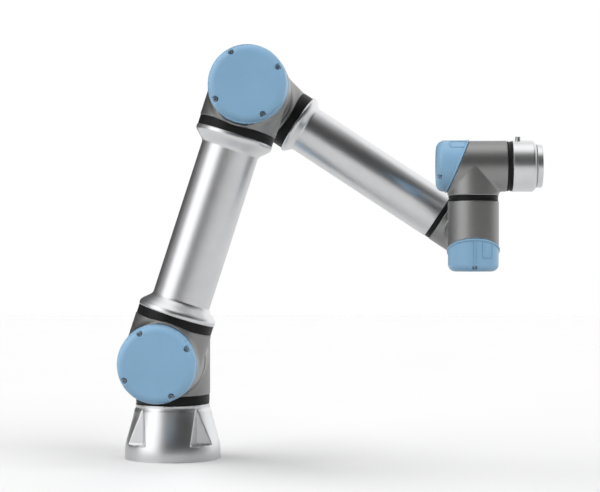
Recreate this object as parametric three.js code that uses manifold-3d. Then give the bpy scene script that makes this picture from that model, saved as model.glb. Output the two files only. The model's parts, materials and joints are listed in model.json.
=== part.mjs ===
// Six-axis collaborative robot arm, in millimetres, +Z up.
// Origin: centre of the base's mounting face. The arm moves in planes parallel to XZ.
// Each joint is one drive module: housing, lid, seal ring, motor, strain-wave gear and output hub.

import * as THREE from "three";
import { mergeVertices } from "three/addons/utils/BufferGeometryUtils.js";
import Module from "manifold-3d";

const wasm = await Module();
wasm.setup();

// Link lengths and offsets of the arm.
const SHOULDER_HEIGHT = 162.5;
const UPPER_ARM_LENGTH = 425;
const FOREARM_LENGTH = 392.2;
const UPPER_ARM_OFFSET = 138;
const FOREARM_OFFSET = 7;
const WRIST_OFFSET = 133.3;
const WRIST_2_RISE = 99.7;
const TOOL_REACH = 99.6;

// Directions of the links at rest, measured from +X towards +Z.
const UPPER_ARM_ANGLE = THREE.MathUtils.degToRad(72);
const FOREARM_ANGLE = THREE.MathUtils.degToRad(-33.4);

const GAP = 0.3;
const INNER_SEGMENTS = 10;
const HOLE_SEGMENTS = 12;

// One drive module, in its own frame: +Z is the output side, -Z the lid side, +X the side port.
// lidCut is where the lid's slanted edge crosses the axis, rising by lidTilt away from the port.
const LARGE_DRIVE = {
  segments: 28,
  radius: 58,
  wall: 6,
  lidWall: 3,
  lidEnd: -68,
  lidRound: 6,
  lidCut: -35.3,
  lidTilt: THREE.MathUtils.degToRad(22.5),
  outputEnd: 59,
  ringLength: 13,
  ringBore: 50,
  board: { inner: 14, outer: 42, from: -50, to: -48 },
  stator: { inner: 36, outer: 50.5, from: -38, to: -8 },
  shaft: { bore: 9, radius: 13, from: -44, to: 36 },
  rotor: { radius: 33.5, from: -36, to: -10 },
  waveGenerator: { radius: 26, from: 18, to: 30 },
  gearRing: { inner: 36, outer: 51, from: 14, to: 40 },
  flexCup: { inner: 30, outer: 33.5, from: 14 },
  hub: { bore: 15, radius: 48, from: 44, web: 40 },
};
const SMALL_DRIVE = {
  segments: 20,
  radius: 37.3,
  wall: 4,
  lidWall: 2.5,
  lidEnd: -54.5,
  lidRound: 6,
  lidCut: -22.4,
  lidTilt: THREE.MathUtils.degToRad(23),
  outputEnd: 48.6,
  ringLength: 7.4,
  ringBore: 32.3,
  board: { inner: 9, outer: 27, from: -40, to: -38 },
  stator: { inner: 23, outer: 32.2, from: -30, to: -8 },
  shaft: { bore: 5.5, radius: 8.5, from: -35, to: 26 },
  rotor: { radius: 21.5, from: -28, to: -10 },
  waveGenerator: { radius: 16.5, from: 12, to: 20 },
  gearRing: { inner: 23.5, outer: 32.5, from: 10, to: 30 },
  flexCup: { inner: 19, outer: 22, from: 10 },
  hub: { bore: 10, radius: 31, from: 34, web: 31 },
};
const WRIST_1_OUTPUT_END = 62.6;

// Length of each housing's side port from the module's centre.
const LARGE_PORT = 60;
const SMALL_PORT = 48.6;

// Tubes: a flared foot at the larger ends, and plain ends at the wrist.
const UPPER_TUBE = { radius: 43.2, wall: 5, foot: 58, footEnd: 78, flareEnd: 95 };
const FOREARM_TUBE = { radius: 37.2, wall: 5, foot: 47.5, footEnd: 79.5, flareEnd: 92 };
const FOREARM_RING = { radius: 45, bore: 38, from: 60, to: 76 };
const ELBOW_BRACKET = { radius: 58, wall: 6, back: 58, portRoot: 57, portEnd: 44.5, portWall: 7 };

// Base bracket, tool flange and their hole patterns.
const BASE = {
  rimRadius: 74.5, rimHeight: 24.5, neckRadius: 57.5, coneTop: 80, neckFrom: 84, height: 90,
  bore: 50, floor: 8, boltCircle: 66, boltRadius: 4.25, dowelCircle: 60, dowelRadius: 4, dowelDepth: 6,
  pocketDepth: 58, pocketFloor: 28.5, pocketHalfAngle: THREE.MathUtils.degToRad(60.8),
};
const CABLE_SOCKET = { radius: 13, bore: 9, height: 44, from: 54, to: 84, depth: 20, segments: 20 };
const FLANGE = {
  shoulder: 84, faceRadius: 31.5, faceRoot: 91, bore: 15.75, boreDepth: 6.6, cavity: 30, cavityEnd: 86,
  screwCircle: 25, screwRadius: 2.5, screwDepth: 6, dowelRadius: 3,
};
const TOOL_SOCKET = { radius: 3.8, clearance: 0.4, root: 33.5, top: 43, bore: 2, depth: 4, along: 65 };

const COLOURS = {
  castMetal: { color: 0x8c8d8e, roughness: 0.38, metalness: 0.9 },
  tubeMetal: { color: 0xc4c6c8, roughness: 0.28, metalness: 0.95 },
  lid: { color: 0x86b4d6, roughness: 0.4, metalness: 0.0 },
  seal: { color: 0x0d0d0e, roughness: 0.6, metalness: 0.0 },
  steel: { color: 0x9a9b9c, roughness: 0.35, metalness: 1.0 },
  winding: { color: 0x9c5a2c, roughness: 0.5, metalness: 0.6 },
  board: { color: 0x1f5c3a, roughness: 0.6, metalness: 0.0 },
};
const MATERIALS = Object.fromEntries(
  Object.entries(COLOURS).map(([name, values]) => [name, new THREE.MeshStandardMaterial(values)]),
);

// ---- solids ----

// A closed three.js geometry as a solid, with its faces pointing out.
function toSolid(geometry) {
  const bare = geometry.index ? geometry.toNonIndexed() : geometry.clone();
  bare.deleteAttribute("normal");
  bare.deleteAttribute("uv");
  const merged = mergeVertices(bare, 1e-4);
  const position = merged.attributes.position;
  const triangles = [];
  let volume = 0;
  const corners = [new THREE.Vector3(), new THREE.Vector3(), new THREE.Vector3()];
  for (let i = 0; i < merged.index.count; i += 3) {
    const [a, b, c] = [0, 1, 2].map((k) => merged.index.getX(i + k));
    if (a === b || b === c || c === a) continue;
    triangles.push([a, b, c]);
    [a, b, c].forEach((vertex, k) => corners[k].fromBufferAttribute(position, vertex));
    volume += corners[0].dot(corners[1].clone().cross(corners[2]));
  }
  const ordered = volume < 0 ? triangles.map(([a, b, c]) => [a, c, b]) : triangles;
  return new wasm.Manifold(new wasm.Mesh({
    numProp: 3,
    vertProperties: new Float32Array(position.array),
    triVerts: new Uint32Array(ordered.flat()),
  }));
}

// A profile of [radius, z] points turned about the Z axis.
function turned(points, segments) {
  const profile = points.map(([radius, z]) => new THREE.Vector2(radius, z));
  return new THREE.LatheGeometry(profile, segments).rotateX(Math.PI / 2);
}

function ringProfile(inner, outer, from, to) {
  return [[inner, from], [outer, from], [outer, to], [inner, to], [inner, from]];
}

function rodProfile(radius, from, to) {
  return [[0, from], [radius, from], [radius, to], [0, to]];
}

// Points of a quarter round between two directions, as [radius, z].
function roundCorner(centreRadius, centreZ, radius, startAngle, endAngle, steps) {
  return Array.from({ length: steps + 1 }, (_, i) => {
    const angle = startAngle + ((endAngle - startAngle) * i) / steps;
    return [centreRadius + radius * Math.cos(angle), centreZ + radius * Math.sin(angle)];
  });
}

// A smooth change of radius along Z, as [radius, z] points.
function flare(fromRadius, fromZ, toRadius, toZ, steps) {
  return Array.from({ length: steps + 1 }, (_, i) => {
    const share = i / steps;
    const eased = share * share * (3 - 2 * share);
    return [fromRadius + (toRadius - fromRadius) * eased, fromZ + (toZ - fromZ) * share];
  });
}

// A solid rod along Z.
function rod(radius, from, to, segments) {
  return turned(rodProfile(radius, from, to), segments);
}

const alongX = (geometry) => geometry.rotateY(Math.PI / 2);

function piece(parent, name, solid, material) {
  const result = solid.getMesh();
  const geometry = new THREE.BufferGeometry();
  geometry.setAttribute("position", new THREE.BufferAttribute(result.vertProperties, 3));
  geometry.setIndex(new THREE.BufferAttribute(result.triVerts, 1));
  geometry.computeVertexNormals();
  const mesh = new THREE.Mesh(geometry, MATERIALS[material]);
  mesh.name = name;
  parent.add(mesh);
  return mesh;
}

// A group at a point, with +X along the port and +Z along the output.
function frameAt(origin, port, output) {
  const group = new THREE.Group();
  const side = new THREE.Vector3().crossVectors(output, port);
  group.quaternion.setFromRotationMatrix(new THREE.Matrix4().makeBasis(port, side, output));
  group.position.copy(origin);
  return group;
}

// ---- drive module ----

// Everything on the lid side (sign -1) or the body side (sign +1) of the lid's slanted edge.
function slantedHalf(drive, sign) {
  const size = drive.radius * 8;
  const block = new THREE.BoxGeometry(size, size, size).translate(0, 0, (sign * size) / 2);
  block.rotateY(drive.lidTilt);
  return toSolid(block.translate(0, 0, drive.lidCut + (sign * GAP) / 2));
}

function housing(drive, portLength, outputEnd) {
  const { radius, wall, segments } = drive;
  const barrel = toSolid(rod(radius, drive.lidEnd, outputEnd, segments));
  const port = toSolid(alongX(rod(radius, 0, portLength, segments)));
  const barrelBore = toSolid(rod(radius - wall, drive.lidEnd - 1, outputEnd + 1, segments));
  const portBore = toSolid(alongX(rod(radius - wall - 2, 0, portLength + 1, segments)));
  return barrel.add(port).intersect(slantedHalf(drive, 1)).subtract(barrelBore).subtract(portBore);
}

function lid(drive) {
  const { radius, lidWall, lidEnd, lidRound, segments } = drive;
  const inner = radius - lidWall;
  const innerEnd = lidEnd + lidWall;
  const innerRound = lidRound - lidWall;
  const profile = [
    [0, lidEnd],
    ...roundCorner(radius - lidRound, lidEnd + lidRound, lidRound, -Math.PI / 2, 0, 3),
    [radius, 0],
    [inner, 0],
    [inner, innerEnd + innerRound],
    [inner - innerRound, innerEnd],
    [0, innerEnd],
  ];
  return toSolid(turned(profile, segments)).intersect(slantedHalf(drive, -1));
}

function rotorProfile({ shaft, rotor, waveGenerator }) {
  return [
    [shaft.bore, shaft.from], [shaft.radius, shaft.from],
    [shaft.radius, rotor.from], [rotor.radius, rotor.from],
    [rotor.radius, rotor.to], [shaft.radius, rotor.to],
    [shaft.radius, waveGenerator.from], [waveGenerator.radius, waveGenerator.from],
    [waveGenerator.radius, waveGenerator.to], [shaft.radius, waveGenerator.to],
    [shaft.radius, shaft.to], [shaft.bore, shaft.to], [shaft.bore, shaft.from],
  ];
}

// The flexible cup of the strain-wave gear, bolted to the output flange as one turning piece.
function hubProfile({ flexCup, hub }, end) {
  return [
    [flexCup.inner, flexCup.from], [flexCup.outer, flexCup.from],
    [flexCup.outer, hub.from], [hub.radius, hub.from],
    [hub.radius, end], [hub.bore, end],
    [hub.bore, hub.web], [flexCup.inner, hub.web], [flexCup.inner, flexCup.from],
  ];
}

function driveModule(frame, name, drive, { portLength, outputEnd = drive.outputEnd }) {
  const ringEnd = outputEnd + drive.ringLength;
  const innerRing = ({ inner, outer, from, to }) =>
    toSolid(turned(ringProfile(inner, outer, from, to), INNER_SEGMENTS));
  const sealRing = ringProfile(drive.ringBore, drive.radius - 0.8, outputEnd + GAP, ringEnd - GAP);
  piece(frame, `${name}_housing`, housing(drive, portLength, outputEnd), "castMetal");
  piece(frame, `${name}_lid`, lid(drive), "lid");
  piece(frame, `${name}_seal_ring`, toSolid(turned(sealRing, drive.segments)), "seal");
  piece(frame, `${name}_gear_ring`, innerRing(drive.gearRing), "steel");
  piece(frame, `${name}_stator`, innerRing(drive.stator), "winding");
  piece(frame, `${name}_rotor`, toSolid(turned(rotorProfile(drive), INNER_SEGMENTS)), "steel");
  piece(frame, `${name}_board`, innerRing(drive.board), "board");
  const hub = hubProfile(drive, ringEnd - GAP);
  piece(frame, `${name}_output_hub`, toSolid(turned(hub, INNER_SEGMENTS)), "steel");
}

// ---- links ----

function upperArmTube() {
  const { radius, wall, foot, footEnd, flareEnd } = UPPER_TUBE;
  const start = LARGE_PORT + LARGE_DRIVE.ringLength + GAP;
  const half = [[foot, start], ...flare(foot, footEnd, radius, flareEnd, 4)];
  const otherHalf = half.map(([r, z]) => [r, UPPER_ARM_LENGTH - z]).reverse();
  const bore = radius - wall;
  const profile = [[bore, start], ...half, ...otherHalf, [bore, UPPER_ARM_LENGTH - start], [bore, start]];
  return toSolid(turned(profile, LARGE_DRIVE.segments));
}

function forearmTube() {
  const { radius, wall, foot, footEnd, flareEnd } = FOREARM_TUBE;
  const start = FOREARM_RING.to + GAP;
  const end = FOREARM_LENGTH - SMALL_PORT - SMALL_DRIVE.ringLength - GAP;
  const bore = radius - wall;
  const outside = [[foot, start], ...flare(foot, footEnd, radius, flareEnd, 4), [radius, end]];
  return toSolid(turned([[bore, start], ...outside, [bore, end], [bore, start]], SMALL_DRIVE.segments));
}

// The casting that carries the forearm tube, closed at the back and open to the elbow drive.
function elbowBracket() {
  const { radius, wall, back, portRoot, portEnd, portWall } = ELBOW_BRACKET;
  const segments = LARGE_DRIVE.segments;
  const front = -(UPPER_ARM_OFFSET - FOREARM_OFFSET) + LARGE_DRIVE.outputEnd + LARGE_DRIVE.ringLength;
  const outside = [
    [0, front], [radius, front],
    ...roundCorner(radius - 8, back - 8, 8, 0, Math.PI / 2, 3), [0, back],
  ];
  const reach = FOREARM_RING.from;
  const port = [[0, 0], [portRoot, 0], [portEnd, reach], [0, reach]];
  const slope = (portEnd - portRoot) / reach;
  const boreEnd = reach + 1;
  const portBore = [
    [0, 0], [portRoot - portWall, 0], [portRoot - portWall + slope * boreEnd, boreEnd], [0, boreEnd],
  ];
  const bore = rod(radius - wall, front - 1, back - wall, segments);
  return toSolid(turned(outside, segments))
    .add(toSolid(alongX(turned(port, segments))))
    .subtract(toSolid(bore))
    .subtract(toSolid(alongX(turned(portBore, segments))));
}

// A V-shaped notch in the cone above a bolt, with its inner edge nearest the axis.
function boltPocket() {
  const { pocketDepth, pocketFloor, pocketHalfAngle, height } = BASE;
  const reach = 40;
  const halfWidth = reach * Math.tan(pocketHalfAngle);
  const outline = new THREE.Shape([
    new THREE.Vector2(pocketDepth, 0),
    new THREE.Vector2(pocketDepth + reach, -halfWidth),
    new THREE.Vector2(pocketDepth + reach, halfWidth),
  ]);
  const depth = height - pocketFloor + 5;
  return new THREE.ExtrudeGeometry(outline, { depth, bevelEnabled: false }).translate(0, 0, pocketFloor);
}

function baseBracket() {
  const {
    rimRadius, rimHeight, neckRadius, coneTop, neckFrom, height, bore, floor,
    boltCircle, boltRadius, dowelCircle, dowelRadius, dowelDepth, pocketFloor,
  } = BASE;
  const profile = [
    [0, 0], [rimRadius - 2, 0], [rimRadius, 2], [rimRadius, rimHeight], [neckRadius + 1.2, coneTop],
    [neckRadius, neckFrom], [neckRadius, height], [bore, height], [bore, floor], [0, floor],
  ];
  let solid = toSolid(turned(profile, LARGE_DRIVE.segments));
  for (let quarter = 0; quarter < 4; quarter += 1) {
    const angle = Math.PI / 4 + (quarter * Math.PI) / 2;
    const bolt = rod(boltRadius, -1, pocketFloor + 1, HOLE_SEGMENTS).translate(boltCircle, 0, 0);
    solid = solid.subtract(toSolid(boltPocket().rotateZ(angle)));
    solid = solid.subtract(toSolid(bolt.rotateZ(angle)));
  }
  for (const side of [-1, 1]) {
    const dowel = rod(dowelRadius, -1, dowelDepth, HOLE_SEGMENTS).translate(side * dowelCircle, 0, 0);
    solid = solid.subtract(toSolid(dowel));
  }
  const { radius, from, height: socketHeight, segments } = CABLE_SOCKET;
  const cableHole = rod(radius + GAP, from - 10, rimRadius + 10, segments).rotateX(-Math.PI / 2);
  return solid.subtract(toSolid(cableHole.translate(0, 0, socketHeight)));
}

// The inlet that the robot's cable plugs into, pointing out of the back of the base.
function cableSocket() {
  const { radius, bore, height, from, to, depth, segments } = CABLE_SOCKET;
  const profile = [[0, from], [radius, from], [radius, to], [bore, to], [bore, to - depth], [0, to - depth]];
  return toSolid(turned(profile, segments).rotateX(-Math.PI / 2).translate(0, 0, height));
}

// The tool flange: a centring bore, four tapped holes and one dowel hole in its face.
function toolFlange() {
  const {
    shoulder, faceRadius, faceRoot, bore, boreDepth, cavity, cavityEnd,
    screwCircle, screwRadius, screwDepth, dowelRadius,
  } = FLANGE;
  const { radius, segments, outputEnd, ringLength } = SMALL_DRIVE;
  const start = outputEnd + ringLength;
  const profile = [
    [0, cavityEnd], [cavity, cavityEnd], [cavity, start], [radius, start], [radius, shoulder],
    [radius - 1.2, shoulder + 3.5], [faceRadius + 1, faceRoot - 0.5], [faceRadius, faceRoot],
    [faceRadius, TOOL_REACH], [bore, TOOL_REACH], [bore, TOOL_REACH - boreDepth], [0, TOOL_REACH - boreDepth],
  ];
  let solid = toSolid(turned(profile, segments));
  const drill = (holeRadius, angle) => {
    const hole = rod(holeRadius, TOOL_REACH - screwDepth, TOOL_REACH + 1, HOLE_SEGMENTS);
    solid = solid.subtract(toSolid(hole.translate(screwCircle, 0, 0).rotateZ(angle)));
  };
  for (let quarter = 0; quarter < 4; quarter += 1) drill(screwRadius, Math.PI / 4 + (quarter * Math.PI) / 2);
  drill(dowelRadius, Math.PI);
  const { radius: socketRadius, clearance, root, top, along } = TOOL_SOCKET;
  const socketHole = rod(socketRadius + clearance, -top, -(root - 4), HOLE_SEGMENTS);
  return solid.subtract(toSolid(alongX(socketHole).translate(0, 0, along)));
}

function toolSocket() {
  const { radius, root, top, bore, depth, along } = TOOL_SOCKET;
  const profile = [[0, -root], [radius, -root], [radius, -top], [bore, -top], [bore, depth - top], [0, depth - top]];
  return toSolid(alongX(turned(profile, HOLE_SEGMENTS)).translate(0, 0, along));
}

// ---- assembly ----

const direction = (angle) => new THREE.Vector3(Math.cos(angle), 0, Math.sin(angle));
const AXIS_X = new THREE.Vector3(1, 0, 0);
const AXIS_Y = new THREE.Vector3(0, 1, 0);
const AXIS_Z = new THREE.Vector3(0, 0, 1);
const opposite = (axis) => axis.clone().negate();

const upperArm = direction(UPPER_ARM_ANGLE);
const forearm = direction(FOREARM_ANGLE);

const baseCentre = new THREE.Vector3(0, 0, SHOULDER_HEIGHT);
const shoulderCentre = new THREE.Vector3(0, -UPPER_ARM_OFFSET, SHOULDER_HEIGHT);
const elbowCentre = shoulderCentre.clone().addScaledVector(upperArm, UPPER_ARM_LENGTH);
const forearmRoot = elbowCentre.clone().setY(-FOREARM_OFFSET);
const forearmEnd = forearmRoot.clone().addScaledVector(forearm, FOREARM_LENGTH);
const wrist1Centre = forearmEnd.clone().setY(-WRIST_OFFSET);
const wrist2Centre = wrist1Centre.clone().addScaledVector(AXIS_Z, WRIST_2_RISE);

const largeReach = LARGE_DRIVE.outputEnd + LARGE_DRIVE.ringLength;
const smallReach = SMALL_DRIVE.outputEnd + SMALL_DRIVE.ringLength;
const wrist1Reach = WRIST_1_OUTPUT_END + SMALL_DRIVE.ringLength;

const arm = new THREE.Group();

const base = new THREE.Group();
arm.add(base);
piece(base, "base_bracket", baseBracket(), "tubeMetal");
piece(base, "base_cable_socket", cableSocket(), "seal");

const baseJoint = frameAt(baseCentre, opposite(AXIS_Y), opposite(AXIS_Z));
arm.add(baseJoint);
driveModule(baseJoint, "base_joint", LARGE_DRIVE, { portLength: UPPER_ARM_OFFSET - largeReach - GAP });

const shoulderJoint = frameAt(shoulderCentre, upperArm, AXIS_Y);
arm.add(shoulderJoint);
driveModule(shoulderJoint, "shoulder_joint", LARGE_DRIVE, { portLength: LARGE_PORT });

const elbowJoint = frameAt(elbowCentre, opposite(upperArm), AXIS_Y);
arm.add(elbowJoint);
driveModule(elbowJoint, "elbow_joint", LARGE_DRIVE, { portLength: LARGE_PORT });

// Link frames have +Z along the tube, so the tubes and their rings are turned about it.
const upperArmLink = frameAt(shoulderCentre, AXIS_Y, upperArm);
arm.add(upperArmLink);
const endRing = [LARGE_PORT + GAP, LARGE_PORT + LARGE_DRIVE.ringLength];
for (const [name, from, to] of [
  ["upper_arm_lower_ring", endRing[0], endRing[1]],
  ["upper_arm_upper_ring", UPPER_ARM_LENGTH - endRing[1], UPPER_ARM_LENGTH - endRing[0]],
]) {
  const ring = ringProfile(LARGE_DRIVE.ringBore, LARGE_DRIVE.radius - 0.8, from, to);
  piece(upperArmLink, name, toSolid(turned(ring, LARGE_DRIVE.segments)), "seal");
}
piece(upperArmLink, "upper_arm_tube", upperArmTube(), "tubeMetal");

const elbowBracketFrame = frameAt(forearmRoot, forearm, AXIS_Y);
arm.add(elbowBracketFrame);
piece(elbowBracketFrame, "elbow_bracket", elbowBracket(), "castMetal");

const forearmLink = frameAt(forearmRoot, AXIS_Y, forearm);
arm.add(forearmLink);
const elbowRing = ringProfile(
  FOREARM_RING.bore, FOREARM_RING.radius, FOREARM_RING.from + GAP, FOREARM_RING.to,
);
piece(forearmLink, "forearm_elbow_ring", toSolid(turned(elbowRing, LARGE_DRIVE.segments)), "seal");
piece(forearmLink, "forearm_tube", forearmTube(), "tubeMetal");
const wristRing = ringProfile(
  SMALL_DRIVE.ringBore, SMALL_DRIVE.radius - 0.8,
  FOREARM_LENGTH - SMALL_PORT - SMALL_DRIVE.ringLength, FOREARM_LENGTH - SMALL_PORT - GAP,
);
piece(forearmLink, "forearm_wrist_ring", toSolid(turned(wristRing, SMALL_DRIVE.segments)), "seal");

const wrist1Joint = frameAt(forearmEnd, opposite(forearm), opposite(AXIS_Y));
arm.add(wrist1Joint);
driveModule(wrist1Joint, "wrist_1_joint", SMALL_DRIVE, {
  portLength: SMALL_PORT, outputEnd: WRIST_1_OUTPUT_END,
});

const wrist2Joint = frameAt(wrist1Centre, AXIS_Y, AXIS_Z);
arm.add(wrist2Joint);
driveModule(wrist2Joint, "wrist_2_joint", SMALL_DRIVE, {
  portLength: WRIST_OFFSET - FOREARM_OFFSET - wrist1Reach - GAP,
});

const wrist3Joint = frameAt(wrist2Centre, opposite(AXIS_Z), AXIS_X);
arm.add(wrist3Joint);
driveModule(wrist3Joint, "wrist_3_joint", SMALL_DRIVE, { portLength: WRIST_2_RISE - smallReach - GAP });
piece(wrist3Joint, "tool_flange", toolFlange(), "tubeMetal");
piece(wrist3Joint, "tool_connector", toolSocket(), "steel");

export default arm;
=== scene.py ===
"""A six-axis collaborative robot arm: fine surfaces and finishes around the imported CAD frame.

Shapes are worked out in millimetres in the frame of each drive module or link, and placed in metres.
Cast and moulded pieces are level surfaces of distance fields, so that their edges and joins are round.
"""
import json
import math

import bpy
import numpy as np
from mathutils import Matrix, Vector

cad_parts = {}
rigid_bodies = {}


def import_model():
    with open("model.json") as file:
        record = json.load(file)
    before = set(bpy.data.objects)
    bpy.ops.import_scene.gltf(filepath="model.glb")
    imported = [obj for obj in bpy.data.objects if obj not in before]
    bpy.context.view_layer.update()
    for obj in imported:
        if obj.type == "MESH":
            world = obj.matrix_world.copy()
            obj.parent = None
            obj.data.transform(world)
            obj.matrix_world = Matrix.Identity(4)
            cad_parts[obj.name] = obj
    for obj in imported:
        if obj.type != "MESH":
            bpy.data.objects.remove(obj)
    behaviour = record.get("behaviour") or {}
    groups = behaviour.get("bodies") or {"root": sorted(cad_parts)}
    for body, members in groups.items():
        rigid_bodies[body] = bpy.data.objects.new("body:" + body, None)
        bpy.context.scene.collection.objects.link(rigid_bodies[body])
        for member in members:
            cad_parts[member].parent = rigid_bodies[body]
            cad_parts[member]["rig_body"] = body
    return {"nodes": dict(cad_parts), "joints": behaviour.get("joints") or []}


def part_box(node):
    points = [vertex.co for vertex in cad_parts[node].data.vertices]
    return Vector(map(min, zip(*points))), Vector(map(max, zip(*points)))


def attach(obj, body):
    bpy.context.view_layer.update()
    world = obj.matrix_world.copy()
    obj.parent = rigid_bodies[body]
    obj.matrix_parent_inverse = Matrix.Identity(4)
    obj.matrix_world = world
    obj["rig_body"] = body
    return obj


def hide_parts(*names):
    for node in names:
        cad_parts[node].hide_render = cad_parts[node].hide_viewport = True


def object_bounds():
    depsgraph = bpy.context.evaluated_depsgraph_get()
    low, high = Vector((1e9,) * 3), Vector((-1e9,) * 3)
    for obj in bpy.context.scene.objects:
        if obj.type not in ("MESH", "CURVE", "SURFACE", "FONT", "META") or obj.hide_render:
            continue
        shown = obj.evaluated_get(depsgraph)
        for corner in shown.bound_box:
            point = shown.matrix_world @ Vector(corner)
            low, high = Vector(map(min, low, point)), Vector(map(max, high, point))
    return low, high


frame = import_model()
cad_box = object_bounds()

MM = 0.001

# ---- driving sizes, in millimetres ----

LARGE = {
    "radius": 58.0, "wall": 6.0, "output_end": 59.0, "ring": 13.0,
    "lid_end": -68.0, "lid_cut": -35.3, "lid_tilt": math.radians(22.5), "lid_round": 12.0, "lid_wall": 3.0,
    "lip": 1.1, "lip_width": 3.2, "inset": 0.9, "blend": 16.0, "step": 2.3, "lid_step": 1.45,
    "screw_circle": 50.4, "screw_angles": (45, 135, 225, 315), "screw_radius": 2.8,
    "notch_radius": 4.3, "notch_depth": 5.2,
    "board": (14, 42, -50, -48), "stator": (36, 50.5, -38, -8), "gear_ring": (36, 51, 14, 40),
    "shaft": (9, 13, -44, 36), "rotor": (33.5, -36, -10), "wave_generator": (26, 18, 30),
    "flex_cup": (30, 33.5, 14), "hub": (15, 48, 44, 40),
}
SMALL = {
    "radius": 37.3, "wall": 4.0, "output_end": 48.6, "ring": 7.4,
    "lid_end": -54.5, "lid_cut": -22.4, "lid_tilt": math.radians(23.0), "lid_round": 10.5, "lid_wall": 2.5,
    "lip": 1.7, "lip_width": 3.0, "inset": 0.3, "blend": 5.0, "step": 1.8, "lid_step": 1.1,
    "screw_circle": 33.6, "screw_angles": (60, 180, 300), "screw_radius": 2.4,
    "notch_radius": 3.4, "notch_depth": 7.5,
    "board": (9, 27, -40, -38), "stator": (23, 32.2, -30, -8), "gear_ring": (23.5, 32.5, 10, 30),
    "shaft": (5.5, 8.5, -35, 26), "rotor": (21.5, -28, -10), "wave_generator": (16.5, 12, 20),
    "flex_cup": (19, 22, 10), "hub": (10, 31, 34, 31),
}
WRIST_1_OUTPUT_END = 62.6
LARGE_PORT = 60.0
SMALL_PORT = 48.6
GAP = 0.3

UPPER_TUBE = {"radius": 43.2, "bore": 38.2, "foot": 58.0, "rim": 77.5, "flare_end": 97.0, "ring_bore": 50.0}
FOREARM_TUBE = {
    "radius": 37.2, "bore": 32.2, "foot": 47.5, "rim": 79.5, "flare_end": 93.0,
    "ring_from": 60.0, "ring_to": 76.0, "ring": 45.0, "ring_bore": 38.0,
}
BRACKET = {
    "radius": 58.0, "wall": 6.0, "back": 58.0, "port_root": 57.0, "port_end": 44.5, "port_wall": 7.0,
    "blend": 18.0, "fade_from": 6.0, "fade_over": 26.0, "back_round": 24.0, "bore_round": 18.0,
}
BASE = {
    "rim": 74.5, "rim_height": 24.5, "cone_top": 80.0, "cone_top_radius": 58.7, "neck": 57.5, "height": 90.0,
    "bore": 50.0, "floor": 8.0, "bolt_circle": 66.0, "bolt_hole": 4.25, "dowel_circle": 60.0, "dowel": 4.0,
    "dowel_depth": 6.0, "pocket_depth": 58.0, "pocket_floor": 28.5, "pocket_half_angle": math.radians(60.8),
    "cable_height": 44.0, "cable_hole": 13.3,
}
FLANGE = {
    "start": 56.0, "shoulder": 86.8, "taper": 1.1, "taper_scale": 0.67, "groove": 0.9, "face": 99.6,
    "face_radius": 31.5, "face_root": 91.5, "bore": 15.75,
    "bore_depth": 6.6, "cavity": 30.0, "cavity_end": 86.0, "screw_circle": 25.0, "screw": 2.5, "dowel": 3.0,
    "screw_depth": 6.0, "socket_along": 65.0, "socket_radius": 3.8, "socket_from": 33.5, "socket_to": 43.0,
}
# The relief on a small lid's wall: each outline's half width, half height and corner.
RELIEF = {
    "rib": (1.7, 18.5, 1.2), "groove": (0.5, 17.5, 0.4), "rib_middle": -27.0,
    "panel": (8.4, 15.5, 2.4), "panel_middle": -19.0, "panel_turn": math.radians(31), "panel_edge": 0.6,
    "height": 0.75,
}
RING_INSET = 0.8
LATHE_SEGMENTS = 128
INNER_SEGMENTS = 72
# The floor stands a little above the mounting face: the lowest part of the base is let into it.
FLOOR_RISE = 5.0


# ---- distance fields: negative inside, points as an (n, 3) array ----

def across(p, axis):
    others = [i for i in range(3) if i != axis]
    return np.hypot(p[:, others[0]], p[:, others[1]])


def rod(p, axis, radius, low, high, edge=1.0):
    """A rod along an axis with rounded rims."""
    out = across(p, axis) - (radius - edge)
    end = np.abs(p[:, axis] - (low + high) / 2) - ((high - low) / 2 - edge)
    corner = np.hypot(np.maximum(out, 0), np.maximum(end, 0))
    return np.minimum(np.maximum(out, end), 0) + corner - edge


def joined(a, b, k):
    """Union with a fillet of about k."""
    k = np.maximum(k, 1e-3)
    h = np.maximum(k - np.abs(a - b), 0) / k
    return np.minimum(a, b) - h * h * k / 4


def shared(a, b, k):
    """Intersection with a rounded edge of about k."""
    return -joined(-a, -b, k)


def cut(a, b, k):
    """a without b, with a rounded edge of about k."""
    return shared(a, -b, k)


def slant(p, drive):
    """Height above the lid's slanted edge: positive on the housing's side."""
    tilt = drive["lid_tilt"]
    return p[:, 0] * math.sin(tilt) + (p[:, 2] - drive["lid_cut"]) * math.cos(tilt)


def blend_share(p):
    """Fades a blend between barrel (Z) and port (X) out at the sides, where the two run together."""
    turn = p[:, 1] ** 2 / np.maximum(across(p, 2) * across(p, 0), 1)
    return np.clip(1 - turn, 0, 1)


def housing_field(drive, port, output_end):
    radius, wall = drive["radius"], drive["wall"]

    def field(p):
        barrel = rod(p, 2, radius, drive["lid_end"], output_end, 1.2)
        side = rod(p, 0, radius, 0, port, 1.2)
        body = joined(barrel, side, drive["blend"] * blend_share(p))
        body = shared(shared(body, -slant(p, drive) + GAP / 2, 0.8), p[:, 2] - output_end, 0.8)
        bore = rod(p, 2, radius - wall, drive["lid_end"] - 5, output_end + 5, 1)
        port_bore = rod(p, 0, radius - wall - 2, 0, port + 5, 1)
        return cut(cut(body, bore, 0.8), port_bore, 0.8)

    return field


def flat_outline(u, v, half_u, half_v, corner):
    """Signed distance to a rectangle with round corners, on a flat sheet."""
    du = np.abs(u) - (half_u - corner)
    dv = np.abs(v) - (half_v - corner)
    return np.minimum(np.maximum(du, dv), 0) + np.hypot(np.maximum(du, 0), np.maximum(dv, 0)) - corner


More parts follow.
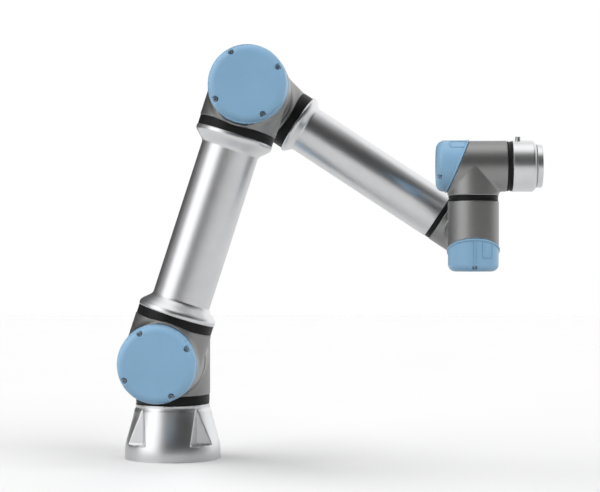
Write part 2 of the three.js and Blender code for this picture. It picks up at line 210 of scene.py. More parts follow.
def relief_field(p):
    """On a small lid's wall: the raised rib opposite the port, and the edge of the panel beside it."""
    r = RELIEF
    radius = SMALL["radius"]
    angle = np.arctan2(p[:, 1], p[:, 0])
    from_rib = (np.mod(angle, 2 * math.pi) - math.pi) * radius
    along_rib = p[:, 2] - r["rib_middle"]
    rib = flat_outline(from_rib, along_rib, *r["rib"])
    groove = flat_outline(from_rib, along_rib, *r["groove"])
    rib = cut(rib, np.maximum(groove, radius + 0.2 - across(p, 2)), 0.3)
    panel = flat_outline(from_rib - r["panel_turn"] * radius, p[:, 2] - r["panel_middle"], *r["panel"])
    outline = np.abs(panel) - r["panel_edge"]
    below_edge = slant(p, SMALL) + SMALL["lip_width"]
    raised = np.maximum(np.minimum(rib, outline), below_edge)
    return shared(raised, np.abs(across(p, 2) - radius + 0.1) - r["height"], 0.35)


def lid_field(drive):
    radius, wall = drive["radius"], drive["lid_wall"]
    end = drive["lid_end"]

    def field(p):
        height = slant(p, drive)
        shell = rod(p, 2, radius - drive["inset"], end, 60, drive["lid_round"])
        beyond_lip = across(p, 2) - (radius - drive["inset"] + drive["lip"])
        lip = shared(beyond_lip, -height - drive["lip_width"], 0.8)
        shell = joined(shell, lip, 1.2)
        hollow = rod(p, 2, radius - wall, end + wall, 70, drive["lid_round"] - wall)
        for degrees in drive["screw_angles"]:
            a = math.radians(degrees)
            out = p[:, 0] * math.cos(a) + p[:, 1] * math.sin(a) - drive["screw_circle"]
            side = -p[:, 0] * math.sin(a) + p[:, 1] * math.cos(a)
            boss = np.hypot(np.minimum(out, 0), side) - (drive["notch_radius"] + 2)
            boss = np.maximum(boss, p[:, 2] - (end + drive["notch_depth"] + 3))
            hollow = cut(hollow, boss, 0.8)
            notch = np.hypot(np.minimum(out, 0), side) - drive["notch_radius"]
            shell = cut(shell, shared(notch, p[:, 2] - (end + drive["notch_depth"]), 0.8), 1.2)
        return cut(shared(shell, height + GAP / 2, 0.8), hollow, 0.6)

    return field


def bracket_field(p):
    """The elbow casting, in its own frame: +X along the forearm, +Z to its closed back."""
    b = BRACKET
    front, back = b["front"], b["back"]
    past_back = back + 30
    slope = (b["port_end"] - b["port_root"]) / FOREARM_TUBE["ring_from"]
    barrel = shared(rod(p, 2, b["radius"], front, past_back, 1.2), p[:, 2] - back, b["back_round"])
    along, middle = p[:, 0], FOREARM_TUBE["ring_from"] / 2
    cone = (across(p, 0) - (b["port_root"] + slope * along)) * math.cos(math.atan(slope))
    port = shared(cone, np.abs(along - middle) - middle, 1.2)
    # The blend fades out towards the closed back too, where the port lies just under the surface.
    below_back = np.clip((back - b["fade_from"] - p[:, 2]) / b["fade_over"], 0, 1)
    body = joined(barrel, port, b["blend"] * blend_share(p) * below_back)
    bore = rod(p, 2, b["radius"] - b["wall"], front - 5, past_back, 1)
    bore = shared(bore, p[:, 2] - (back - b["wall"]), b["bore_round"])
    port_bore = shared(cone + b["port_wall"], -along, 1)
    return cut(cut(body, bore, 0.8), port_bore, 0.8)


def base_field(p):
    """The foot of the arm: a rim, a cone with four bolt pockets, and a short neck."""
    b = BASE
    z = p[:, 2]
    out = across(p, 2)
    slope = (b["cone_top_radius"] - b["rim"]) / (b["cone_top"] - b["rim_height"])
    cone = (out - (b["rim"] + slope * (z - b["rim_height"]))) * math.cos(math.atan(slope))
    foot = shared(cone, rod(p, 2, b["rim"], 0, b["cone_top"], 1.4), 3.0)
    body = joined(foot, rod(p, 2, b["neck"], 5, b["height"], 0.8), 6)
    for quarter in range(4):
        a = math.pi / 4 + quarter * math.pi / 2
        along = p[:, 0] * math.cos(a) + p[:, 1] * math.sin(a)
        side = np.abs(-p[:, 0] * math.sin(a) + p[:, 1] * math.cos(a))
        opening = b["pocket_half_angle"]
        wedge = side * math.cos(opening) - (along - b["pocket_depth"]) * math.sin(opening)
        body = cut(body, shared(wedge, b["pocket_floor"] - z, 1.5), 0.9)
        body = cut(body, np.hypot(along - b["bolt_circle"], side) - b["bolt_hole"], 0.8)
    for sign in (-1, 1):
        dowel = np.hypot(p[:, 0] - sign * b["dowel_circle"], p[:, 1]) - b["dowel"]
        body = cut(body, np.maximum(dowel, z - b["dowel_depth"]), 0.6)
    cable = np.maximum(np.hypot(p[:, 0], z - b["cable_height"]) - b["cable_hole"], 30 - p[:, 1])
    body = cut(body, cable, 0.8)
    return cut(body, rod(p, 2, b["bore"], b["floor"], b["height"] + 9, 1), 0.8)


def flange_field(p):
    """The tool flange: +Z out of its face, with the connector's hole on the -X side."""
    f = FLANGE
    radius = SMALL["radius"]
    beyond_taper = across(p, 2) - radius + (p[:, 2] - f["shoulder"]) * f["taper"]
    # Scaled to about the distance from the slanted surface.
    taper = beyond_taper * f["taper_scale"]
    body = shared(rod(p, 2, radius, f["start"], f["face_root"] - f["groove"], 0.5), taper, 1.5)
    root = rod(p, 2, f["face_radius"] - 1.4, f["shoulder"], f["face_root"] + 2, 0.3)
    body = joined(body, root, 0.4)
    body = joined(body, rod(p, 2, f["face_radius"], f["face_root"], f["face"], 0.7), 0.4)
    body = cut(body, rod(p, 2, f["bore"], f["face"] - f["bore_depth"], f["face"] + 5, 0.3), 0.6)
    body = cut(body, rod(p, 2, f["cavity"], f["start"] - 5, f["cavity_end"], 1), 0.8)
    holes = [(math.radians(45 + 90 * i), f["screw"]) for i in range(4)] + [(math.pi, f["dowel"])]
    for angle, hole in holes:
        x, y = f["screw_circle"] * math.cos(angle), f["screw_circle"] * math.sin(angle)
        drilled = np.hypot(p[:, 0] - x, p[:, 1] - y) - hole
        body = cut(body, np.maximum(drilled, f["face"] - f["screw_depth"] - p[:, 2]), 0.5)
    socket = np.hypot(p[:, 1], p[:, 2] - f["socket_along"]) - (f["socket_radius"] + 0.4)
    return cut(body, np.maximum(socket, p[:, 0] + f["socket_from"] - 4), 0.5)


def screw_field(radius):
    """A socket-head screw, its head's top at z = 0 and its hexagonal socket opening to -Z."""
    def field(p):
        head = rod(p, 2, radius, 0, radius * 1.1, 0.35)
        hexagon = np.max([np.abs(p[:, 0] * math.cos(a) + p[:, 1] * math.sin(a))
                          for a in (0, math.pi / 3, 2 * math.pi / 3)], axis=0) - radius * 0.46
        return cut(head, np.maximum(hexagon, p[:, 2] - radius * 0.7), 0.2)

    return field


# ---- meshes ----

CORNERS = [(i, j, k) for i in (0, 1) for j in (0, 1) for k in (0, 1)]
EDGES = [(a, b) for a in range(8) for b in range(a + 1, 8)
         if sum(x != y for x, y in zip(CORNERS[a], CORNERS[b])) == 1]


def slope_of(field, points, reach=0.02):
    """The field's gradient."""
    return np.stack([
        (field(points + offset) - field(points - offset)) / (2 * reach)
        for offset in np.eye(3) * reach
    ], axis=1)


def level_surface(field, low, high, step):
    """Points and four-sided faces of the surface where the field is 0, with the normals there."""
    low, high = np.array(low, float) - 2 * step, np.array(high, float) + 2 * step
    counts = np.ceil((high - low) / step).astype(int) + 1
    axes = [low[i] + step * np.arange(counts[i]) for i in range(3)]
    grid = np.stack(np.meshgrid(*axes, indexing="ij"), -1)
    values = field(grid.reshape(-1, 3)).reshape(counts)
    inside = values < 0
    filled = sum(inside[i:counts[0] - 1 + i, j:counts[1] - 1 + j, k:counts[2] - 1 + k].astype(np.int8)
                 for i, j, k in CORNERS)
    cells = np.argwhere((filled > 0) & (filled < 8))
    number = np.full(filled.shape, -1, np.int64)
    number[tuple(cells.T)] = np.arange(len(cells))
    at_corner = np.stack([values[tuple((cells + c).T)] for c in CORNERS], 1)
    total, hits = np.zeros((len(cells), 3)), np.zeros(len(cells))
    for a, b in EDGES:
        va, vb = at_corner[:, a], at_corner[:, b]
        crossed = (va < 0) != (vb < 0)
        share = np.where(crossed, va / np.where(crossed, va - vb, 1), 0)
        point = np.array(CORNERS[a]) + share[:, None] * (np.array(CORNERS[b]) - np.array(CORNERS[a]))
        total += point * crossed[:, None]
        hits += crossed
    points = low + (cells + total / hits[:, None]) * step
    for _ in range(3):
        gradient = slope_of(field, points)
        length = np.maximum((gradient ** 2).sum(1), 0.05)
        move = (field(points) / length)[:, None] * gradient
        points = points - np.clip(move, -step / 2, step / 2)
    faces = []
    for axis in range(3):
        b, c = [i for i in range(3) if i != axis]
        start = [slice(None)] * 3
        after = [slice(None)] * 3
        start[axis], after[axis] = slice(0, -1), slice(1, None)
        first, second = inside[tuple(start)], inside[tuple(after)]
        edges = np.argwhere(first != second)
        leaving = first[tuple(edges.T)]
        ring = []
        for db, dc in ((1, 1), (0, 1), (0, 0), (1, 0)):
            cell = edges.copy()
            cell[:, b] -= db
            cell[:, c] -= dc
            ring.append(number[tuple(cell.T)])
        quads = np.stack(ring, 1)
        flip = leaving if axis != 1 else ~leaving
        faces.append(np.where(flip[:, None], quads, quads[:, ::-1]))
    return points, np.concatenate(faces), slope_of(field, points, 0.05)


def mesh_from(name, points, faces, normals=None):
    mesh = bpy.data.meshes.new(name)
    mesh.from_pydata((points * MM).tolist(), [], faces.tolist())
    mesh.update()
    mesh.polygons.foreach_set("use_smooth", [True] * len(mesh.polygons))
    if normals is not None:
        length = np.maximum(np.linalg.norm(normals, axis=1, keepdims=True), 1e-6)
        mesh.normals_split_custom_set_from_vertices((normals / length).tolist())
    return mesh


def field_mesh(name, field, low, high, step):
    return mesh_from(name, *level_surface(field, low, high, step))


def merged(*surfaces):
    """Several surfaces as one, for details moulded onto a wall."""
    firsts = np.cumsum([0] + [len(points) for points, _, _ in surfaces])
    points = np.concatenate([surface[0] for surface in surfaces])
    faces = np.concatenate([surface[1] + first for surface, first in zip(surfaces, firsts)])
    return points, faces, np.concatenate([surface[2] for surface in surfaces])


def lathe_mesh(name, profile, segments=LATHE_SEGMENTS):
    """A closed profile of (radius, z) points turned about Z; a sharp corner is written twice."""
    profile = np.array(profile, float)
    count = len(profile)
    turn = np.linspace(0, 2 * math.pi, segments, endpoint=False)
    points = np.stack([
        np.outer(np.cos(turn), profile[:, 0]), np.outer(np.sin(turn), profile[:, 0]),
        np.tile(profile[:, 1], (segments, 1)),
    ], -1).reshape(-1, 3)
    ring, at = np.meshgrid(np.arange(segments), np.arange(count), indexing="ij")
    after, beyond = (ring + 1) % segments, (at + 1) % count
    row, next_row = ring * count, after * count
    faces = np.stack([row + at, next_row + at, next_row + beyond, row + beyond], -1)
    return mesh_from(name, points, faces.reshape(-1, 4))


def soften(profile, radius, steps=4):
    """Rounds each corner of a closed (radius, z) outline."""
    profile = [np.array(p, float) for p in profile]
    rounded = []
    for i, corner in enumerate(profile):
        before, after = profile[i - 1], profile[(i + 1) % len(profile)]
        to_before, to_after = before - corner, after - corner
        reach = min(radius, np.linalg.norm(to_before) / 2.2, np.linalg.norm(to_after) / 2.2)
        start = corner + to_before / np.linalg.norm(to_before) * reach
        end = corner + to_after / np.linalg.norm(to_after) * reach
        for share in np.linspace(0, 1, steps + 1):
            rounded.append((1 - share) ** 2 * start + 2 * share * (1 - share) * corner + share ** 2 * end)
    return rounded


def flare(from_radius, from_z, to_radius, to_z, steps=14):
    share = np.linspace(0, 1, steps + 1)
    eased = share * share * (3 - 2 * share)
    return [(from_radius + (to_radius - from_radius) * e, from_z + (to_z - from_z) * s)
            for e, s in zip(eased, share)]


# ---- frames of the drive modules and links ----

def frame_at(origin, port, output):
    """A place with +X along the side port and +Z along the output, as the CAD has it."""
    side = output.cross(port)
    turn = Matrix((port, side, output)).transposed().to_4x4()
    return Matrix.Translation(origin) @ turn


X_AXIS, Y_AXIS, Z_AXIS = Vector((1, 0, 0)), Vector((0, 1, 0)), Vector((0, 0, 1))
pivot = {joint["name"]: Vector(joint["pos_m"]) for joint in frame["joints"]}

forearm_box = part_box("forearm_tube")
forearm_plane = (forearm_box[0][1] + forearm_box[1][1]) / 2
upper_arm = (pivot["elbow_joint"] - pivot["shoulder_joint"]).normalized()
upper_arm_length = (pivot["elbow_joint"] - pivot["shoulder_joint"]).length / MM
forearm_root = Vector((pivot["elbow_joint"].x, forearm_plane, pivot["elbow_joint"].z))
forearm_end = Vector((pivot["wrist_1_joint"].x, forearm_plane, pivot["wrist_1_joint"].z))
forearm = (forearm_end - forearm_root).normalized()
forearm_length = (forearm_end - forearm_root).length / MM

shoulder_offset = -pivot["shoulder_joint"].y / MM
elbow_offset = (forearm_plane - pivot["elbow_joint"].y) / MM
wrist_offset = (forearm_plane - pivot["wrist_1_joint"].y) / MM
wrist_rise = (pivot["wrist_3_joint"].z - pivot["wrist_2_joint"].z) / MM
large_reach = LARGE["output_end"] + LARGE["ring"]
small_reach = SMALL["output_end"] + SMALL["ring"]
wrist_1_reach = WRIST_1_OUTPUT_END + SMALL["ring"]
BRACKET["front"] = large_reach - elbow_offset

base_centre = Vector((0, 0, pivot["shoulder_joint"].z))
UPPER_ARM_FRAME = frame_at(pivot["shoulder_joint"], Y_AXIS, upper_arm)
FOREARM_FRAME = frame_at(forearm_root, Y_AXIS, forearm)
BRACKET_FRAME = frame_at(forearm_root, forearm, Y_AXIS)
MODULES = {
    "base_joint": {
        "place": frame_at(base_centre, -Y_AXIS, -Z_AXIS), "drive": LARGE, "body": "shoulder_link",
        "port": shoulder_offset - large_reach - GAP, "output": LARGE["output_end"],
    },
    "shoulder_joint": {
        "place": frame_at(pivot["shoulder_joint"], upper_arm, Y_AXIS), "drive": LARGE,
        "body": "upper_arm_link", "port": LARGE_PORT, "output": LARGE["output_end"],
    },
    "elbow_joint": {
        "place": frame_at(pivot["elbow_joint"], -upper_arm, Y_AXIS), "drive": LARGE, "body": "upper_arm_link",
        "port": LARGE_PORT, "output": LARGE["output_end"],
    },
    "wrist_1_joint": {
        "place": frame_at(forearm_end, -forearm, -Y_AXIS), "drive": SMALL, "body": "forearm_link",
        "port": SMALL_PORT, "output": WRIST_1_OUTPUT_END,
    },
    "wrist_2_joint": {
        "place": frame_at(pivot["wrist_1_joint"], Y_AXIS, Z_AXIS), "drive": SMALL, "body": "wrist_1_link",
        "port": wrist_offset - wrist_1_reach - GAP, "output": SMALL["output_end"],
    },
    "wrist_3_joint": {
        "place": frame_at(pivot["wrist_3_joint"], -Z_AXIS, X_AXIS), "drive": SMALL, "body": "wrist_2_link",
        "port": wrist_rise - small_reach - GAP, "output": SMALL["output_end"],
    },
}


# ---- finishes ----

def new_material(name, **constants):
    """A material with its constant values on the shader's own sockets."""
    material = bpy.data.materials.new(name)
    material.use_nodes = True
    shader = material.node_tree.nodes["Principled BSDF"]
    for socket, value in constants.items():
        shader.inputs[socket.replace("_", " ")].default_value = value
    return material, material.node_tree, shader


def add_node(tree, kind, **values):
    """Adds a node; values are its properties, or its inputs by name with spaces as underscores."""
    made = tree.nodes.new(kind)
    for key, value in values.items():
        if hasattr(made, key):
            setattr(made, key, value)
        else:
            made.inputs[key.replace("_", " ")].default_value = value
    return made


def noise(tree, scale, detail=2.0, roughness=0.5):
    """Solid noise in object space; the scale is in cycles a metre."""
    place = add_node(tree, "ShaderNodeTexCoord")
    made = add_node(tree, "ShaderNodeTexNoise", Scale=scale, Detail=detail, Roughness=roughness)
    tree.links.new(place.outputs["Object"], made.inputs["Vector"])
    return made.outputs["Fac"]


def ramp(tree, source, stops):
    """Maps a value through colour stops of (place, colour or grey)."""
    made = tree.nodes.new("ShaderNodeValToRGB")
    tree.links.new(source, made.inputs["Fac"])
    elements = made.color_ramp.elements
    for element, (place, value) in zip((elements[0], elements[1]), stops):
        element.position = place
        element.color = value if isinstance(value, tuple) else (value, value, value, 1)
    for place, value in stops[2:]:
        elements.new(place).color = value if isinstance(value, tuple) else (value, value, value, 1)
    return made.outputs["Color"]


def bump(tree, shader, height, distance, strength=1.0):
    made = add_node(tree, "ShaderNodeBump", Strength=strength, Distance=distance)
    tree.links.new(height, made.inputs["Height"])
    tree.links.new(made.outputs["Normal"], shader.inputs["Normal"])


def shade(colour, share):
    return tuple(min(1, c * share) for c in colour[:3]) + (1,)


def metal(name, colour, roughness, spread, grain_scale, grain_depth):
    """Bead-blasted or machined metal: fine grain, and a finish that varies slightly over the surface."""
    material, tree, shader = new_material(name, Metallic=1.0)
    patches = noise(tree, 26, 3, 0.6)
    grain = noise(tree, grain_scale, 2, 0.6)
    both = add_node(tree, "ShaderNodeMath", operation="ADD")
    tree.links.new(patches, both.inputs[0])
    tree.links.new(grain, both.inputs[1])
    tree.links.new(ramp(tree, both.outputs[0], [(0.3, roughness - spread), (1.0, roughness + spread)]),
                   shader.inputs["Roughness"])
    tree.links.new(ramp(tree, patches, [(0.3, shade(colour, 0.965)), (0.7, shade(colour, 1.03))]),
                   shader.inputs["Base Color"])
    bump(tree, shader, grain, grain_depth)
    return material


def lid_plastic():
    """Moulded plastic: a fine eggshell grain and slight changes of colour and gloss."""
    colour = (0.172, 0.311, 0.449, 1)
    material, tree, shader = new_material("lid_plastic", Specular_IOR_Level=0.5, IOR=1.5)
    patches = noise(tree, 18, 3)
    grain = noise(tree, 2600, 2)
    tree.links.new(ramp(tree, patches, [(0.3, shade(colour, 0.97)), (0.7, shade(colour, 1.03))]),
                   shader.inputs["Base Color"])
    tree.links.new(ramp(tree, patches, [(0.3, 0.3), (0.7, 0.37)]), shader.inputs["Roughness"])
    bump(tree, shader, grain, 0.00004, 0.6)
    return material


def rubber():
    material, tree, shader = new_material("seal_rubber", Specular_IOR_Level=0.22)
    patches = noise(tree, 60, 4)
    tree.links.new(ramp(tree, patches, [(0.3, 0.003), (0.7, 0.006)]), shader.inputs["Base Color"])
    tree.links.new(ramp(tree, patches, [(0.3, 0.36), (0.7, 0.46)]), shader.inputs["Roughness"])
    bump(tree, shader, noise(tree, 1800, 2), 0.00005, 0.5)
    return material


def winding():
    """Copper wire in turns round the stator."""
    material, tree, shader = new_material("winding", Metallic=0.9)
    place = add_node(tree, "ShaderNodeTexCoord")
    turns = add_node(tree, "ShaderNodeTexWave", Scale=260.0, Distortion=1.5, Detail=1.0)
    tree.links.new(place.outputs["Object"], turns.inputs["Vector"])
    between, copper = (0.16, 0.06, 0.025, 1), (0.6, 0.27, 0.11, 1)
    tree.links.new(ramp(tree, turns.outputs["Fac"], [(0.1, between), (0.8, copper)]),
                   shader.inputs["Base Color"])
    tree.links.new(ramp(tree, turns.outputs["Fac"], [(0, 0.55), (1, 0.3)]), shader.inputs["Roughness"])
    bump(tree, shader, turns.outputs["Fac"], 0.0003)
    return material


def circuit_board():
    """A coated board with the pale pads and tracks showing through."""
    material, tree, shader = new_material("circuit_board", Metallic=0.0)
    place = add_node(tree, "ShaderNodeTexCoord")
    cells = add_node(tree, "ShaderNodeTexVoronoi", distance="CHEBYCHEV", Scale=210.0)
    tree.links.new(place.outputs["Object"], cells.inputs["Vector"])
    distance = cells.outputs["Distance"]
    pad, track, coating = (0.5, 0.44, 0.2, 1), (0.008, 0.09, 0.03, 1), (0.012, 0.14, 0.05, 1)
    tree.links.new(ramp(tree, distance, [(0.2, pad), (0.26, track), (0.8, coating)]),
                   shader.inputs["Base Color"])
    tree.links.new(ramp(tree, distance, [(0.2, 0.25), (0.5, 0.5)]), shader.inputs["Roughness"])
    bump(tree, shader, distance, 0.0001)
    return material


FINISH = {
    "satin_tube": metal("satin_tube", (0.80, 0.805, 0.815), 0.30, 0.02, 1500, 0.00002),
    "cast_housing": metal("cast_housing", (0.345, 0.345, 0.342), 0.40, 0.025, 900, 0.00004),
    "lid_plastic": lid_plastic(),
    "seal": rubber(),
    "drive_steel": metal("drive_steel", (0.55, 0.55, 0.56), 0.3, 0.06, 700, 0.00003),
    "screw_steel": metal("screw_steel", (0.34, 0.345, 0.36), 0.3, 0.05, 1500, 0.00002),
    "winding": winding(),
    "circuit_board": circuit_board(),
}


# ---- pieces ----

def place_piece(name, mesh, place, body, finish, replaced=()):
    mesh.transform(place)
    made = bpy.data.objects.new(name, mesh)
    bpy.context.scene.collection.objects.link(made)
    mesh.materials.clear()
    mesh.materials.append(FINISH[finish])
    if replaced:
        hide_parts(*replaced)
    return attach(made, body)


def stand_in(node, mesh, place, finish):
    """A finer piece in the place of one CAD node, riding on that node's body."""
    return place_piece(f"{node}_surface", mesh, place, frame["nodes"][node]["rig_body"], finish, (node,))


def band(inner, outer, low, high, groove=0.0):
    """A ring's outline, with an optional shallow groove round its middle."""
    outline = [(inner, low), (outer, low)]
    if groove:
        middle, half = (low + high) / 2, (high - low) * 0.16
        outline += [(outer, middle - half - 0.5), (outer - groove, middle - half),
                    (outer - groove, middle + half), (outer, middle + half + 0.5)]
    return outline + [(outer, high), (inner, high)]


large_lid = field_mesh("large_lid", lid_field(LARGE), (-60, -60, -69), (60, 60, -8), LARGE["lid_step"])
small_lid = mesh_from("small_lid", *merged(
    level_surface(lid_field(SMALL), (-40, -40, -56), (40, 40, -3), SMALL["lid_step"]),
    level_surface(relief_field, (-39, -36, -47), (-14, 4, -4), 0.5),
))
screws = {
    id(drive): field_mesh("screw", screw_field(drive["screw_radius"]), (-4, -4, -0.5), (4, 4, 4), 0.4)
    for drive in (LARGE, SMALL)
}

for module, parts in MODULES.items():
    drive, place = parts["drive"], parts["place"]
    radius = drive["radius"]
    span = radius + 1
    casting = field_mesh(
        f"{module}_housing", housing_field(drive, parts["port"], parts["output"]),
        (-span, -span, drive["lid_cut"] - radius * 0.45), (parts["port"] + 1, span, parts["output"] + 1),
        drive["step"],
    )
    stand_in(f"{module}_housing", casting, place, "cast_housing")
    cover = (large_lid if drive is LARGE else small_lid).copy()
    stand_in(f"{module}_lid", cover, place, "lid_plastic")
    ring_end = parts["output"] + drive["ring"]
    groove = 0.6 if drive is SMALL else 0
    ring = band(radius - 6, radius - RING_INSET, parts["output"] + GAP, ring_end - GAP, groove)
    stand_in(f"{module}_seal_ring", lathe_mesh("ring", soften(ring, 0.5)), place, "seal")
    for number, degrees in enumerate(drive["screw_angles"], 1):
        a = math.radians(degrees)
        seat = Vector((
            drive["screw_circle"] * math.cos(a), drive["screw_circle"] * math.sin(a),
            drive["lid_end"] + drive["notch_depth"] - drive["screw_radius"] * 0.9,
        )) * MM
        turn = Matrix.Rotation(a, 4, "Z")
        place_piece(f"{module}_lid_screw_{number}", screws[id(drive)].copy(),
                    place @ Matrix.Translation(seat) @ turn, parts["body"], "screw_steel")

ring_outer = LARGE["radius"] - RING_INSET
ring_low, ring_high = LARGE_PORT + GAP, LARGE_PORT + LARGE["ring"]
for node, low, high in (
    ("upper_arm_lower_ring", ring_low, ring_high),
    ("upper_arm_upper_ring", upper_arm_length - ring_high, upper_arm_length - ring_low),
):
    mesh = lathe_mesh(node, soften(band(UPPER_TUBE["ring_bore"], ring_outer, low, high), 0.5))
    stand_in(node, mesh, UPPER_ARM_FRAME, "seal")


def tube_end(tube, start):
    """The outline of a flared tube end from its sealing rim to the plain tube."""
    foot, rim = tube["foot"], tube["rim"]
    return [
        (foot - 0.9, start), (foot - 0.9, start + 0.7), (foot, start + 0.9), (foot, rim),
        *flare(foot, rim, tube["radius"], tube["flare_end"])[1:],
    ]


tube_start = LARGE_PORT + LARGE["ring"] + GAP
end_outline = tube_end(UPPER_TUBE, tube_start)
other_end = [(r, upper_arm_length - z) for r, z in reversed(end_outline)]
outline = [(UPPER_TUBE["bore"], tube_start), *end_outline, *other_end,
           (UPPER_TUBE["bore"], upper_arm_length - tube_start)]
stand_in("upper_arm_tube", lathe_mesh("upper_arm_tube", soften(outline, 0.5, 2)),
         UPPER_ARM_FRAME, "satin_tube")

stand_in("elbow_bracket", field_mesh("elbow_bracket", bracket_field, (-60, -60, -61), (62, 60, 60), 2.3),
         BRACKET_FRAME, "cast_housing")
ring = band(FOREARM_TUBE["ring_bore"], FOREARM_TUBE["ring"],
            FOREARM_TUBE["ring_from"] + GAP, FOREARM_TUBE["ring_to"])
stand_in("forearm_elbow_ring", lathe_mesh("ring", soften(ring, 0.5)), FOREARM_FRAME, "seal")
wrist_start = forearm_length - SMALL_PORT - SMALL["ring"]
tube_start = FOREARM_TUBE["ring_to"] + GAP
outline = [(FOREARM_TUBE["bore"], tube_start), *tube_end(FOREARM_TUBE, tube_start),
           (FOREARM_TUBE["radius"], wrist_start - GAP), (FOREARM_TUBE["bore"], wrist_start - GAP)]
stand_in("forearm_tube", lathe_mesh("forearm_tube", soften(outline, 0.5, 2)), FOREARM_FRAME, "satin_tube")
ring = band(SMALL["radius"] - 5, SMALL["radius"] - RING_INSET,
            wrist_start, wrist_start + SMALL["ring"] - GAP)
stand_in("forearm_wrist_ring", lathe_mesh("ring", soften(ring, 0.5)), FOREARM_FRAME, "seal")

stand_in("base_bracket", field_mesh("base_bracket", base_field, (-75, -75, 0), (75, 75, 90), 2.2),
         Matrix.Identity(4), "satin_tube")
socket_place = Matrix.Translation((0, 0, BASE["cable_height"] * MM)) @ Matrix.Rotation(-math.pi / 2, 4, "X")
socket = [(0.01, 54), (13, 54), (13, 82), (12.2, 83.2), (11.2, 84), (9.8, 84), (9, 83.2), (9, 64), (0.01, 64)]
stand_in("base_cable_socket", lathe_mesh("socket", socket, 64), socket_place, "seal")

wrist_3 = MODULES["wrist_3_joint"]["place"]
stand_in("tool_flange", field_mesh("tool_flange", flange_field, (-38, -38, 55), (38, 38, 100), 1.15),
         wrist_3, "satin_tube")
connector_place = (wrist_3 @ Matrix.Translation((0, 0, FLANGE["socket_along"] * MM))
                   @ Matrix.Rotation(-math.pi / 2, 4, "Y"))
f = FLANGE
plug = [
    (0.01, f["socket_from"]), (f["socket_radius"], f["socket_from"]),
    (f["socket_radius"], f["socket_to"] - 3.2),
    (f["socket_radius"] - 0.5, f["socket_to"] - 2.8), (f["socket_radius"] - 0.5, f["socket_to"] - 2.2),
    (f["socket_radius"], f["socket_to"] - 1.8), (f["socket_radius"], f["socket_to"] - 0.5),
    (f["socket_radius"] - 0.5, f["socket_to"]), (2.3, f["socket_to"]), (2, f["socket_to"] - 0.4),
    (2, f["socket_to"] - 4), (0.01, f["socket_to"] - 4),
]
stand_in("tool_connector", lathe_mesh("tool_connector", plug, 48), connector_place, "drive_steel")

INNER_FINISH = {
    "gear_ring": "drive_steel", "rotor": "drive_steel", "output_hub": "drive_steel",
    "stator": "winding", "board": "circuit_board",
}


def inner_outlines(drive, ring_end):
    """The outlines of the pieces inside a drive, turned round its axis."""
    shaft_bore, shaft, shaft_low, shaft_high = drive["shaft"]
    rotor, rotor_low, rotor_high = drive["rotor"]
    wave, wave_low, wave_high = drive["wave_generator"]
    cup_inner, cup_outer, cup_low = drive["flex_cup"]
    hub_bore, hub, hub_low, hub_web = drive["hub"]
    return {
        **{part: band(*drive[part]) for part in ("gear_ring", "stator", "board")},
        "rotor": [
            (shaft_bore, shaft_low), (shaft, shaft_low), (shaft, rotor_low), (rotor, rotor_low),
            (rotor, rotor_high), (shaft, rotor_high), (shaft, wave_low), (wave, wave_low),
            (wave, wave_high), (shaft, wave_high), (shaft, shaft_high), (shaft_bore, shaft_high),
        ],
        "output_hub": [
            (cup_inner, cup_low), (cup_outer, cup_low), (cup_outer, hub_low), (hub, hub_low),
            (hub, ring_end), (hub_bore, ring_end), (hub_bore, hub_web), (cup_inner, hub_web),
        ],
    }


for module, parts in MODULES.items():
    outlines = inner_outlines(parts["drive"], parts["output"] + parts["drive"]["ring"] - GAP)
    for part, outline in outlines.items():
        node = f"{module}_{part}"
        stand_in(node, lathe_mesh(node, soften(outline, 0.4, 2), INNER_SEGMENTS), parts["place"],
                 INNER_FINISH[part])


# ---- floor, light and camera ----

def add_floor():
    half = 6.0
    mesh = bpy.data.meshes.new("floor")
    corners = [(-half, -half, 0), (half, -half, 0), (half, half, 0), (-half, half, 0)]
    mesh.from_pydata(corners, [], [(0, 1, 2, 3)])
    floor = bpy.data.objects.new("floor", mesh)
    floor.location.z = cad_box[0][2] + FLOOR_RISE * MM
    bpy.context.scene.collection.objects.link(floor)
    material, tree, shader = new_material("floor", Specular_IOR_Level=0.0, Roughness=0.9)
    # Paler to the camera than in the metal's reflections.
    seen = add_node(tree, "ShaderNodeLightPath").outputs["Is Camera Ray"]
    pale = add_node(tree, "ShaderNodeMapRange", To_Min=0.5, To_Max=0.66)
    tree.links.new(seen, pale.inputs["Value"])
    tint = add_node(tree, "ShaderNodeMath", operation="MULTIPLY")
    tree.links.new(ramp(tree, noise(tree, 3, 2), [(0.3, 0.99), (0.7, 1.0)]), tint.inputs[0])
    tree.links.new(pale.outputs["Result"], tint.inputs[1])
    tree.links.new(tint.outputs[0], shader.inputs["Base Color"])
    mesh.materials.append(material)


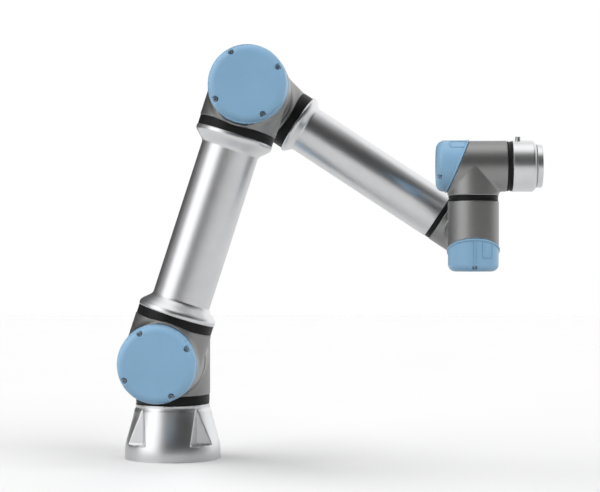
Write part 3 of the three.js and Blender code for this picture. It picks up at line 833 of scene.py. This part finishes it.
class Sky:
    """The studio as seen from the arm: soft panels by azimuth from the front and elevation, in degrees."""

    def __init__(self, tree):
        self.tree = tree
        place = add_node(tree, "ShaderNodeTexCoord")
        parts = add_node(tree, "ShaderNodeSeparateXYZ")
        tree.links.new(place.outputs["Generated"], parts.inputs[0])
        x, y, z = parts.outputs
        self.azimuth = self.math("DEGREES", self.math("ARCTAN2", x, self.math("MULTIPLY", y, -1)))
        self.elevation = self.math("DEGREES", self.math("ARCSINE", z))

    def math(self, operation, first, second=None):
        made = add_node(self.tree, "ShaderNodeMath", operation=operation)
        for socket, value in zip(made.inputs, (first, second)):
            if value is None:
                continue
            if isinstance(value, (int, float)):
                socket.default_value = value
            else:
                self.tree.links.new(value, socket)
        return made.outputs[0]

    def step(self, value, edge, soft):
        """Rises smoothly from 0 to 1 across an edge."""
        made = add_node(self.tree, "ShaderNodeMapRange", interpolation_type="SMOOTHSTEP", clamp=True,
                        From_Min=edge - soft, From_Max=edge + soft)
        self.tree.links.new(value, made.inputs["Value"])
        return made.outputs["Result"]

    def between(self, value, low, high, soft):
        return self.math("SUBTRACT", self.step(value, low, soft), self.step(value, high, soft))

    def panel(self, azimuths, elevations, soft_azimuth=10, soft_elevation=10):
        across_it = self.between(self.azimuth, *azimuths, soft_azimuth)
        return self.math("MULTIPLY", across_it, self.between(self.elevation, *elevations, soft_elevation))

    def laid_over(self, under, mask, level):
        """The level where the mask is 1, and what was there where it is 0."""
        difference = self.math("SUBTRACT", level, under)
        return self.math("ADD", under, self.math("MULTIPLY", difference, mask))


def add_light():
    world = bpy.data.worlds.new("studio")
    world.use_nodes = True
    tree = world.node_tree
    background = tree.nodes["Background"]
    sky = Sky(tree)
    level = 0.3
    for azimuths, elevations, brightness, soft in (
        ((104, 200), (-20, 60), 1.05, 15),
        ((-200, -112), (-10, 50), 0.08, 14),
        ((-16, 74), (-8, 52), 0.05, 14),
        ((-80, -30), (-12, 70), 1.45, 11),
    ):
        level = sky.laid_over(level, sky.panel(azimuths, elevations, soft, 12), brightness)
    level = sky.laid_over(level, sky.step(sky.elevation, 64, 12), 1.25)
    view = add_node(tree, "ShaderNodeLightPath")
    level = sky.laid_over(level, view.outputs["Is Camera Ray"], 1.0)
    tree.links.new(level, background.inputs["Strength"])
    background.inputs["Color"].default_value = (1, 1, 1, 1)
    bpy.context.scene.world = world
    bpy.context.scene.view_settings.view_transform = "Standard"


def add_sun(name, towards, strength, softness):
    """A soft light that lights surfaces and throws shadows, and leaves the panels alone in reflections."""
    data = bpy.data.lights.new(name, "SUN")
    data.energy = strength
    data.angle = math.radians(softness)
    sun = bpy.data.objects.new(name, data)
    sun.rotation_euler = Vector(towards).to_track_quat("Z", "Y").to_euler()
    sun.visible_glossy = False
    bpy.context.scene.collection.objects.link(sun)


def add_camera():
    data = bpy.data.cameras.new("camera")
    data.sensor_width = 36.0
    data.lens = 95.81
    data.clip_end = 50.0
    camera = bpy.data.objects.new("camera", data)
    camera.location = (0.30955, -2.48273, 0.31731)
    camera.rotation_euler = (math.radians(90.40), 0, math.radians(2.56))
    bpy.context.scene.collection.objects.link(camera)
    bpy.context.scene.camera = camera


add_floor()
add_light()
add_sun("back_left_light", (-1, 0.25, 0.5), 2.9, 55)
add_sun("front_right_light", (1, -0.75, 0.62), 2.6, 55)
add_sun("front_left_light", (-1, -0.8, 0.3), 0.9, 40)
add_camera()
